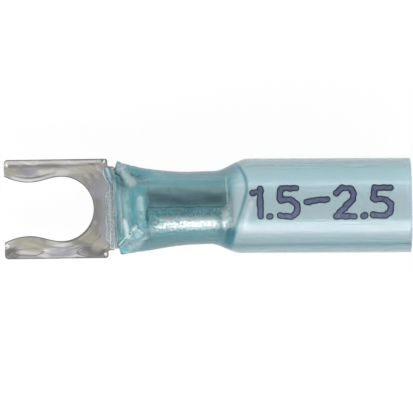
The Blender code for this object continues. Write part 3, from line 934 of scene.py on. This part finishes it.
def sleeve_material(look):
    """Clear teal plastic: pale tube, deep neck, cloudy mouth, a line where its lining ends, painted
    highlights and shade.
    """
    made, shader, wire = blank_material("clear_teal_sleeve")
    place = millimetres(wire)
    depth, fold = attribute(wire, "depth"), attribute(wire, "fold")
    x, y, z = place.parts()
    x, z = x - TIPS_X / MM, z - AXIS_Z / MM
    clouds = place.noise(0.9, 3.0, 0.6, 0.4)
    grain = place.noise(8.0, 2.0, 0.6)
    sparkle = place.noise(5.5, 3.0, 0.7)
    lines = place.stretched(0.12, 5.0, 5.0).noise(1.0, 3.0, 0.6)
    wisps = place.stretched(2.6, 0.7, 0.7).noise(1.0, 4.0, 0.65, 0.8)

    opened = (x - y * 0.12).ramp(15.7, 16.0)
    shrunk = 1 - opened
    mouth = x.ramp(10.3, 9.3)
    below = (1.2 - y).most(0.0)
    near = x + below * below / (below + 0.6) * 0.37 + (y - 1.4).most(0.0) ** 2 * 0.28 - 16.97
    far = x - y * 0.09 - 15.85
    upper = z.ramp(-0.3, 0.3)
    body = plain(wire, look.neck).tint(look.tube, opened)
    body = body.tint(look.ring, shrunk * lines.ramp(0.5, 0.75) * 0.35)
    shift = (clouds - 0.5) * 1.2
    warp = (place.noise(2.2, 3.0, 0.6) - 0.5) * 0.8
    cloudy = patches(wire, x + shift * 0.6 + warp, y + shift * 0.6 - warp, WHITENED_AND_HIGHLIT_PATCHES)
    cloudy = cloudy * wisps.ramp(0.36, 0.6, 0.35, 1.0)
    # Cloudy folds at the mouth: partly stress whitening and partly painted highlight on their crests and
    # facets
    whitening_and_sheen = cloudy * 2 + wisps.ramp(0.5, 0.62) * 0.6 + fold.ramp(0.03, 0.12) * 0.4
    # Pale strokes: painted highlight, partly stress whitening, and a painted pale rim along the tube's top
    # edge
    pale = strokes(wire, x + warp * 0.2, y, WHITENED_AND_HIGHLIGHT_STROKES) * wisps.ramp(0.38, 0.5, 0.7, 1.0)
    pale = pale.most(y.ramp(2.75, 3.1) * opened * 0.1)
    teal = patches(wire, x + shift * 0.4, y - shift * 0.4, TEAL) * 0.6
    # Darker in the creases of the mouth: deeper tint where the wall doubles, and painted shade
    creased_and_shaded = (wisps.ramp(0.46, 0.36) * 0.5 + fold.ramp(-0.02, -0.1) * 0.6) * mouth
    creased_and_shaded = creased_and_shaded + strokes(wire, x, y, CREASE_AND_SHADE_STROKES)
    shards = place.stretched(2.2, 1.4, 1.4).noise(1.0, 4.0, 0.7, 1.0)
    body = body.tint(look.milk, (whitening_and_sheen * mouth).least(1.0))
    body = body.tint(TEAL_SHARD, shards.ramp(0.54, 0.62) * mouth * 0.5)
    # Painted highlight: white shards off the facets at the mouth
    body = body.tint(WHITE, shards.ramp(0.47, 0.38) * mouth * 0.6)
    body = body.tint(BRIGHT_TEAL, (teal * mouth).least(0.9))
    body = body.tint(look.crease, creased_and_shaded.least(1.0))
    body = body.tint(DEEP_CREASE_SHADE, (creased_and_shaded - 1.0).most(0.0).least(1.0))
    body = body.tint(WHITE, pale * 1.5)
    body = body.tint(PALE_LINE, lines.ramp(0.5, 0.38) * y.ramp(0.8, 1.2) * shrunk * (1 - mouth) * 0.6)
    streaked = shrunk * (1 - mouth) * y.ramp(0.8, 1.1)
    threads = place.stretched(0.15, 3.2, 3.2).noise(1.0, 3.0, 0.6)
    body = body.tint(WHITE, threads.ramp(0.5, 0.58) * streaked * 0.6)
    body = body.tint(DEEP_THREAD, threads.ramp(0.46, 0.4) * streaked * 0.5)
    # Painted shade: a dark mottled band over the barrel's top, with paler mottles
    mottled = place.stretched(0.9, 2.2, 2.2).noise(1.0, 4.0, 0.7, 0.5)
    band = shrunk * (1 - mouth) * y.ramp(1.25, 0.9) * y.ramp(-0.9, -0.4)
    dark = mottled.ramp(0.46, 0.6).most(patches(wire, x + warp, y + warp * 0.3, DARK_BAND))
    body = body.tint(SHADE_BAND, band * dark * 0.75)
    body = body.tint(WHITE, band * mottled.ramp(0.44, 0.36) * 0.6)
    outer = 1 - depth
    # Painted highlight: the strip light's thin line along the tube
    body = body.tint(WHITE, y.bump_at(1.49, 0.2) * opened * 0.9)
    body = body.tint(TUBE_MIDDLE, y.ramp(1.42, 1.3) * y.ramp(-1.05, -0.9) * opened)
    # Painted highlight tone: greyer low on the tube, where the softbox's band lies
    body = body.tint(TUBE_LOWER_SHEEN, y.ramp(-1.0, -1.3) * opened)
    # Painted shade: a dark line low on the tube, standing for the lower wall's refraction
    body = body.tint(TUBE_SHADE_LINE, y.bump_at(-2.73, 0.3) * opened * (0.8 + depth * 0.2))
    # Painted light: a paler edge along the bottom of the tube
    body = body.tint(TUBE_FOOT_SHEEN, y.ramp(-2.9, -3.1) * opened)
    # Painted shade: darker low on the neck
    body = body.tint(NECK_FOOT_SHADE, y.ramp(-1.75, -2.1) * shrunk * (1 - mouth) * 0.9)
    body = body.tint(NECK_TOP, y.ramp(1.9, 2.3) * shrunk * (1 - mouth) * 0.6)
    body = body.tint(look.crease, stroke(wire, x, y, (15.10, -1.45), (15.25, -2.25), 0.42, 0.8))
    body = body.tint(look.ring, stroke(wire, x, y, (15.90, 2.75), (16.45, 2.60), 0.4) * 0.5)
    foot = stroke(wire, x, y, (15.86, -1.70), (15.55, -2.80), 0.5) * 1.8
    body = body.tint(SHOULDER_TEAL, foot.least(1.0))
    body = body.tint(LINING_END, near.bump_at(0.0, 0.2) * upper * y.ramp(-2.2, 0.8, 0.5, 0.9))
    body = body.tint(look.crease, far.bump_at(0.0, 0.15) * (1 - upper) * 0.6)
    # Frost on the neck where the softbox's band lies: real roughness, coat and bump, and painted white
    # highlight grains in the colour
    ragged = x + (clouds - 0.5) * 1.5 + (sparkle - 0.5) * 1.8
    uneven_y = y + (sparkle - 0.5) * 0.7
    frost_and_highlight = ragged.ramp(10.3, 10.8) * ragged.ramp(15.3, 14.7)
    frost_and_highlight = frost_and_highlight * uneven_y.ramp(-0.5, -0.8) * uneven_y.ramp(-1.8, -1.1)
    frost_and_highlight = frost_and_highlight.most(patches(wire, x + (grain - 0.5) * 0.5, y, (((15.44, -0.75), (0.30, 0.90)),)))
    body = body.tint(WHITE, frost_and_highlight * sparkle.ramp(0.41, 0.51, 0.2, 0.7))
    coat = (frost_and_highlight * sparkle.ramp(0.41, 0.51, 0.05, 1.0)).most(mouth * fold.ramp(0.0, 0.06) * 0.4)
    height = lines + clouds * 0.5 + wisps * mouth * 3 + sparkle * frost_and_highlight * 1.6
    feed(
        shader,
        Base_Color=body,
        Roughness=0.12 + outer * (shrunk * 0.1 + frost_and_highlight * 0.1 + clouds * 0.06),
        Coat_Weight=outer * coat,
        Coat_Roughness=0.25,
        Coat_IOR=2.7,
        Transmission_Weight=0.94,
        IOR=1.5,
        Normal=bumped(wire, height, 0.02 * MM),
    )
    clear = Wire(wire.tree, shader.outputs[0])
    upper_edge = (y - x.ramp(9.8, 8.6) * 0.35).ramp(1.95, 2.35) * shrunk * x.ramp(8.3, 8.8)
    shell = plain(wire, SHELL).tint(SHELL_EDGE, upper_edge.ramp(0.0, 0.3))
    whitening_and_highlight_shader = wire.node("ShaderNodeBsdfPrincipled", None, {"Base Color": shell, "Roughness": 0.4})
    veiled = upper_edge * x.ramp(10.8, 9.8, 0.2, 0.55)
    # The opaque white shader shows stress whitening and also the painted highlights of the pale strokes and
    # cloudy patches
    cloudy = (cloudy.most(pale) * (0.7 + grain * 0.6)).most(veiled) * outer
    both = wire.node("ShaderNodeMixShader", None, {0: cloudy, 1: clear, 2: whitening_and_highlight_shader})
    tinted = wire.node("ShaderNodeVolumeAbsorption", None, {"Color": look.deep, "Density": look.density})
    outlet = made.node_tree.nodes["Material Output"]
    made.node_tree.links.new(both.socket, outlet.inputs["Surface"])
    made.node_tree.links.new(tinted.socket, outlet.inputs["Volume"])
    return made


def make_sleeve(look):
    obj = new_object("teal_sleeve", bpy.data.meshes.new("teal_sleeve"))
    values = {
        "Tube radius": look.tube_radius,
        "Tube wall": look.tube_wall,
        "Neck radius": look.neck_radius,
        "Neck wall": look.neck_wall,
        "Mouth wall": look.mouth_wall,
        "Wrinkle": look.wrinkle,
        "Streak": look.streak,
        "Stations": SleeveForm.STATIONS,
        "Around": SleeveForm.AROUND,
    }
    shape_by(obj, sleeve_tree(sleeve_material(look)), values)
    outward(obj.data)
    return obj


def outward(mesh):
    bm = bmesh.new()
    bm.from_mesh(mesh)
    bmesh.ops.recalc_face_normals(bm, faces=bm.faces)
    bm.to_mesh(mesh)
    bm.free()


# Adhesive


def adhesive_material(look):
    """Grey-white film, grainy, with ridges across it, painted highlight lines and teal folds at its far end.
    """
    made, shader, wire = blank_material("melted_adhesive")
    place = millimetres(wire)
    x, y, _ = place.parts()
    x = x - TIPS_X / MM
    ridges = place.stretched(5.0, 0.7, 0.7).noise(1.0, 3.0, 0.6, 0.4)
    beads = place.noise(7.0, 2.0, 0.7)
    front = attribute(wire, "from_front")
    weave = (y * 19).sin() * x.bump_at(7.52, 0.12)
    wavy = x + (ridges - 0.5) * 0.2
    folded = y.ramp(1.2, 1.7)
    pleats = ((x + y * 0.376 - 8.06) * (2 * math.pi / 0.39)).cos() * folded
    # Pale lines on the ridges, along the front edge and in the pleats: raised in the bump and painted white
    # as highlight
    line = wavy.bump_at(7.42, 0.06).most(wavy.bump_at(7.68, 0.06)) * (1 - folded)
    line = line.most(front.bump_at(0.05, 0.08) * y.ramp(0.5, 1.1)).most(pleats.ramp(-0.3, -0.9) * 0.6)
    line = line * ridges.ramp(0.38, 0.55, 0.2, 0.8)
    body = plain(wire, look.clear).tint(look.teal, ridges.ramp(0.54, 0.68) * 0.2)
    body = body.tint(look.teal, weave.ramp(0.1, 0.9) * 0.3)
    body = body.tint(look.teal, pleats.ramp(0.0, 0.7))
    body = body.tint(WHITE, line.most(beads.ramp(0.54, 0.66) * 0.15))
    body = body.tint((0.85, 1.0, 1.0), x.ramp(7.8, 8.1))
    feed(
        shader,
        Base_Color=body,
        Roughness=0.16 + beads * 0.2,
        Transmission_Weight=0.3,
        IOR=1.5,
        Normal=bumped(wire, ridges * 1.5 + beads * 0.2 + line * 1.5 - weave * 0.5, 0.03 * MM),
    )
    return made


FILM_ROWS = 64
FILM_COLUMNS = 90
FILM_GAP = 0.1 * MM
ROOF_GAP = 0.62 * MM
ROOF_HALF_WIDTH = 3.0 * MM


def roof(x, y, neck_radius):
    """Height of the sleeve's inner wall over the mouth, less a little room."""
    form = SleeveForm
    climb = math.sin(min((x - form.MOUTH) / form.MOUTH_CLIMB, 1.0) * math.pi / 2)
    middle = mix(form.MOUTH_MIDDLE, 0.0, ramp(x, form.MOUTH, form.BARREL))
    top = mix(form.MOUTH_TOP, neck_radius, climb) - ROOF_GAP
    return middle + (top - middle) * (1 - (y / ROOF_HALF_WIDTH) ** 2)


def make_adhesive(look, blank, neck_radius):
    """A rippled film on the neck, from the tongue back into the mouth, where it sticks to the roof."""
    front = blank.tongue - 0.29 * MM
    back = front + look.depth
    rows, depths = [], []
    for x in spread(front, back, FILM_ROWS):
        half = blank.neck - 0.08 * MM
        half = mix(half, blank.WAIST_WIDTH / 2 - 0.2 * MM, ramp(x, blank.neck_end, back))
        lifted = ramp(x, blank.neck_end + 0.1 * MM, blank.neck_end + 0.9 * MM)
        row = []
        depths.append([(x - front) / MM] * (FILM_COLUMNS + 1))
        for t in spread(-1.0, 1.0, FILM_COLUMNS):
            wave = math.sin(x / MM * 12.0 + 1.3 * math.sin(t * 2.7 + 0.6))
            wave += 0.5 * math.sin(x / MM * 21 + t * 5)
            crumple = look.ripple * 0.35 * (wave + 1.5) * (1 - 0.6 * abs(t) ** 3)
            y = half * t / MM
            edge = 0.13 + 0.24 * ramp(abs(y - 1.5), 0.7, 0.0) - 0.18 * ramp(y, 1.9, 2.6)
            edge += 0.03 * math.sin(t * 13 + 1)
            edge += 0.26 * ramp(y, -2.1, -2.6)
            edge *= MM * ramp(x, front + 0.7 * MM, front)
            level = blank.sheet / 2 + FILM_GAP + look.thickness / 2 + crumple
            low = blank.raised(x + edge, half * t, level)
            torn = 0.12 * MM * (math.sin(t * 4.1 + 0.5) + 0.6 * math.sin(t * 9.7))
            torn *= ramp(x, front + 1.4 * MM, back)
            ceiling = roof(x + torn, half * t, neck_radius) - crumple
            high = Vector((x + torn, half * t, ceiling))
            row.append(low.lerp(high, lifted))
        rows.append(row)
    obj = grid_object("adhesive_film", rows, {"from_front": depths})
    add_modifier(obj, "Film", "SOLIDIFY", thickness=look.thickness, offset=0.0)
    baked(obj)
    obj.data.shade_smooth()
    obj.data.materials.clear()
    obj.data.materials.append(adhesive_material(look))
    return obj


# Marking

# Each sign's width and its lines, as shares of its height
GLYPHS = {
    "1": (0.26, [[(0, 0.84), (0.26, 0.9)], [(0.26, 1), (0.26, 0)]]),
    "2": (0.62, [[(0, 0.82), (0.16, 1), (0.48, 1), (0.62, 0.8), (0.56, 0.58), (0, 0), (0.62, 0)]]),
    "5": (
        0.6,
        [[(0.58, 1), (0.04, 1), (0, 0.58), (0.38, 0.6), (0.6, 0.42), (0.6, 0.16), (0.4, 0), (0, 0.04)]],
    ),
    ".": (0.04, [[(0, 0), (0.04, 0.02)]]),
    "-": (0.74, [[(0, 0.5), (0.3, 0.56), (0.74, 0.6)]]),
}


# Height of the dark drops and of the paler ones on them, and how far both stand off the tube
EDGE_HEIGHT = 0.010 * MM
INK_HEIGHT = 0.016 * MM
INK_LIFT = 0.004 * MM
INK_SHARE = 0.6
LETTER_GAP = 0.315
DROP_SIDES = 20
DROP_SEED = 3


def stroke_mesh(name, text, height, gap):
    """The text's strokes as lines in the plane, from its lower left corner."""
    points, edges, left = [], [], 0.0
    for letter in text:
        width, lines = GLYPHS[letter]
        for line in lines:
            first = len(points)
            points += [(left + x * height, y * height, 0.0) for x, y in line]
            edges += [(i, i + 1) for i in range(first, len(points) - 1)]
        left += width * height + gap
    mesh = bpy.data.meshes.new(name)
    mesh.from_pydata(points, edges, [])
    return mesh


def marking_tree(materials):
    """Drops of ink along the strokes, wrapped round the tube: dark ones below, paler ones on them."""
    sizes = ("Radius", "Step", "Shake", "Tube radius", "Start", "Base", "Lift")
    tree, wire, inlets = new_group("Printed drops", sizes, geometry=True)
    traces, drop, step, shake, tube, start, base, lift = inlets
    lines = wire.node("GeometryNodeMeshToCurve", None, {"Mesh": traces})
    points = wire.node("GeometryNodeResampleCurve", {"mode": "LENGTH"}, {"Curve": lines, "Length": step})
    layers = []
    for size, height, material in zip((1.0, INK_SHARE), (EDGE_HEIGHT, INK_HEIGHT), materials):
        jitter = wire.node(
            "FunctionNodeRandomValue",
            {"data_type": "FLOAT_VECTOR"},
            {"Min": (-1.0, -1.0, 0.0), "Max": (1.0, 1.0, 0.0), "Seed": DROP_SEED},
        ).scaled(shake)
        swell = wire.node(
            "FunctionNodeRandomValue",
            {"data_type": "FLOAT"},
            {"Min": 0.9, "Max": 1.1, "Seed": DROP_SEED + 1},
            1,
        )
        drop_shape = wire.node(
            "GeometryNodeMeshCylinder",
            {"fill_type": "TRIANGLE_FAN"},
            {"Vertices": DROP_SIDES, "Radius": drop * size, "Depth": height},
        )
        shaken = wire.node("GeometryNodeSetPosition", None, {"Geometry": points, "Offset": jitter})
        drops = wire.node(
            "GeometryNodeInstanceOnPoints", None, {"Points": shaken, "Instance": drop_shape, "Scale": swell}
        )
        real = wire.node("GeometryNodeRealizeInstances", None, {"Geometry": drops})
        layers.append(wire.node("GeometryNodeSetMaterial", None, {"Geometry": real, "Material": material}))
    both = wire.node("GeometryNodeJoinGeometry", None, {0: layers[0]})
    tree.links.new(layers[1].socket, both.socket.node.inputs[0])
    x, y, z = wire.node("GeometryNodeInputPosition").parts()
    angle = (y + base) / tube
    radius = tube + z + lift
    aside = radius * angle.sin() + tube_drift(x + start)
    place = wire.vector(x + start + TIPS_X, aside, radius * angle.cos() + AXIS_Z)
    wrapped = wire.node("GeometryNodeSetPosition", None, {"Geometry": both, "Position": place})
    outlet = tree.nodes.new("NodeGroupOutput")
    tree.links.new(wrapped.socket, outlet.inputs[0])
    return tree


def ink_material(name, tint):
    made, shader, wire = blank_material(name)
    place = millimetres(wire)
    blots = place.noise(4.0, 3.0, 0.6)
    body = plain(wire, tint).tint(tuple(c * 0.55 for c in tint), blots.ramp(0.45, 0.7))
    feed(shader, Base_Color=body, Roughness=0.45 + blots * 0.2)
    return made


def make_marking(look, tube_radius):
    mesh = stroke_mesh("printed_size", look.text, look.height, look.height * LETTER_GAP)
    obj = new_object("printed_size", mesh)
    materials = (ink_material("ink_edge", look.outline), ink_material("ink", look.ink))
    values = {
        "Radius": look.dot,
        "Step": look.step,
        "Shake": look.shake,
        "Tube radius": tube_radius,
        "Start": look.start,
        "Base": look.base,
        "Lift": INK_LIFT,
    }
    shape_by(obj, marking_tree(materials), values)
    return obj


# Stage

FLOOR_RADIUS = 1.5
FLOOR_SIDES = 96
FLOOR_GAP = 0.02 * MM
SHADOW = 0.05
# Each lamp's name, tilt from overhead towards +Y in degrees, width, depth and setting
LAMPS = (("softbox", -54.5, 0.6, 0.165, "key"), ("strip_light", 57, 0.5, 0.03, "strip"))
LAMP_DISTANCE = 0.35
SENSOR_WIDTH = 36
# The camera's aim, a little off the middle of the terminal
AIM = (-0.085 * MM, 0.035 * MM)


def seen_rays(wire):
    """1 for rays from the camera, off gloss and through the sleeve."""
    rays = wire.node("ShaderNodeLightPath").socket.node.outputs
    camera, glossy, through = (
        Wire(wire.tree, rays[name]) for name in ("Is Camera Ray", "Is Glossy Ray", "Is Transmission Ray")
    )
    return camera.most(glossy).most(through), glossy


def floor_material(shadow):
    """White where it is seen, with the object's shadow left in it."""
    made = bpy.data.materials.new("white_floor")
    made.use_nodes = True
    made.node_tree.nodes.clear()
    wire = Wire(made.node_tree)
    seen, _ = seen_rays(wire)
    matt = wire.node("ShaderNodeBsdfDiffuse", None, {"Color": WHITE})
    white = wire.node("ShaderNodeEmission", None, {"Color": WHITE, "Strength": 1.0})
    both = wire.node("ShaderNodeMixShader", None, {0: seen * (1 - shadow), 1: matt, 2: white})
    wire.node("ShaderNodeOutputMaterial", None, {"Surface": both})
    return made


def make_floor():
    bm = bmesh.new()
    bmesh.ops.create_circle(bm, cap_ends=True, segments=FLOOR_SIDES, radius=FLOOR_RADIUS)
    bmesh.ops.translate(bm, verts=bm.verts, vec=(0, 0, -FLOOR_GAP))
    mesh = bpy.data.meshes.new("floor")
    bm.to_mesh(mesh)
    bm.free()
    floor = new_object("floor", mesh)
    mesh.materials.append(floor_material(SHADOW))


def make_world(ambient, ceiling):
    """A plain room: white at the sides where it is seen, dimmer overhead, and an even light."""
    world = bpy.data.worlds.new("studio")
    world.use_nodes = True
    world.node_tree.nodes.clear()
    wire = Wire(world.node_tree)
    seen, glossy = seen_rays(wire)
    height = wire.node("ShaderNodeTexCoord", output="Generated").parts()[2]
    overhead = height.ramp(0.55, 0.95) * glossy * (1 - ceiling)
    white = plain(wire, WHITE).tint((0, 0, 0), overhead)
    light = plain(wire, (ambient, ambient, ambient)).tint(white, seen)
    sky = wire.node("ShaderNodeBackground", None, {"Color": light, "Strength": 1.0})
    wire.node("ShaderNodeOutputWorld", None, {"Surface": sky})
    bpy.context.scene.world = world


def make_lamp(name, tilt, width, depth, radiance):
    """A rectangular lamp. tilt leans it from overhead towards +Y."""
    lamp = bpy.data.lights.new(name, "AREA")
    lamp.shape = "RECTANGLE"
    lamp.size = width
    lamp.size_y = depth
    lamp.energy = radiance * math.pi * width * depth
    obj = new_object(name, lamp)
    obj.location = (0, LAMP_DISTANCE * math.sin(tilt), LAMP_DISTANCE * math.cos(tilt))
    obj.rotation_euler = (-tilt, 0, 0)


def make_camera(look):
    camera = bpy.data.cameras.new("camera")
    camera.sensor_width = SENSOR_WIDTH
    camera.lens = SENSOR_WIDTH * look.distance / look.frame_width
    camera.clip_start = 0.01
    camera.clip_end = 10
    obj = new_object("camera", camera)
    obj.location = (*AIM, look.distance)
    obj.rotation_euler = (0, 0, look.roll)
    bpy.context.scene.camera = obj


# Operators


class TERMINAL_OT_stamping(bpy.types.Operator):
    """Builds the tinned stamping: forked tongue, neck, trough and barrel"""

    bl_idname = "terminal.stamping"
    bl_label = "Stamping"

    def execute(self, context):
        hand_over(make_stamping(context.scene.terminal.stamping), "metal_fork")
        return {"FINISHED"}


class TERMINAL_OT_sleeve(bpy.types.Operator):
    """Builds the clear teal sleeve that is shrunk onto the barrel"""

    bl_idname = "terminal.sleeve"
    bl_label = "Sleeve"

    def execute(self, context):
        hand_over(make_sleeve(context.scene.terminal.sleeve), "shrink_sleeve")
        return {"FINISHED"}


class TERMINAL_OT_adhesive(bpy.types.Operator):
    """Builds the film of melted adhesive on the neck"""

    bl_idname = "terminal.adhesive"
    bl_label = "Adhesive"

    def execute(self, context):
        terminal = context.scene.terminal
        film = make_adhesive(terminal.adhesive, Blank(terminal.stamping), terminal.sleeve.neck_radius)
        hand_over(film, "adhesive_lip")
        return {"FINISHED"}


class TERMINAL_OT_marking(bpy.types.Operator):
    """Prints the wire size on the tube in drops of ink"""

    bl_idname = "terminal.marking"
    bl_label = "Marking"

    def execute(self, context):
        terminal = context.scene.terminal
        unknown = set(terminal.marking.text) - set(GLYPHS)
        if unknown:
            raise ValueError(f"the marking has no strokes for {sorted(unknown)}")
        marking = make_marking(terminal.marking, terminal.sleeve.tube_radius)
        hand_over(marking, None)
        return {"FINISHED"}


class TERMINAL_OT_stage(bpy.types.Operator):
    """Sets the floor, the room, the lamps and the camera"""

    bl_idname = "terminal.stage"
    bl_label = "Stage"

    def execute(self, context):
        look = context.scene.terminal.stage
        make_floor()
        make_world(look.ambient, look.ceiling)
        for name, tilt, width, depth, setting in LAMPS:
            make_lamp(name, math.radians(tilt), width, depth, getattr(look, setting))
        make_camera(look)
        context.scene.view_settings.view_transform = "Standard"
        return {"FINISHED"}


class TERMINAL_PT_sidebar(bpy.types.Panel):
    """The pieces of the terminal and their sizes and colours"""

    bl_idname = "TERMINAL_PT_sidebar"
    bl_label = "Fork terminal"
    bl_space_type = "VIEW_3D"
    bl_region_type = "UI"
    bl_category = "Terminal"

    def draw(self, context):
        for operator in OPERATORS:
            name = operator.bl_idname.split(".")[1]
            settings = getattr(context.scene.terminal, name)
            box = self.layout.box()
            box.operator(operator.bl_idname)
            for key in settings.__annotations__:
                box.prop(settings, key)


OPERATORS = (
    TERMINAL_OT_stamping,
    TERMINAL_OT_sleeve,
    TERMINAL_OT_adhesive,
    TERMINAL_OT_marking,
    TERMINAL_OT_stage,
)
CLASSES = (
    StampingSettings,
    SleeveSettings,
    AdhesiveSettings,
    MarkingSettings,
    StageSettings,
    TerminalSettings,
    *OPERATORS,
    TERMINAL_PT_sidebar,
)


def register():
    for cls in CLASSES:
        bpy.utils.register_class(cls)
    bpy.types.Scene.terminal = PointerProperty(type=TerminalSettings)


def unregister():
    del bpy.types.Scene.terminal
    for cls in reversed(CLASSES):
        bpy.utils.unregister_class(cls)


def main():
    register()
    bpy.ops.terminal.stage()
    bpy.ops.terminal.stamping()
    bpy.ops.terminal.sleeve()
    bpy.ops.terminal.adhesive()
    bpy.ops.terminal.marking()


if __name__ == "__main__":
    main()
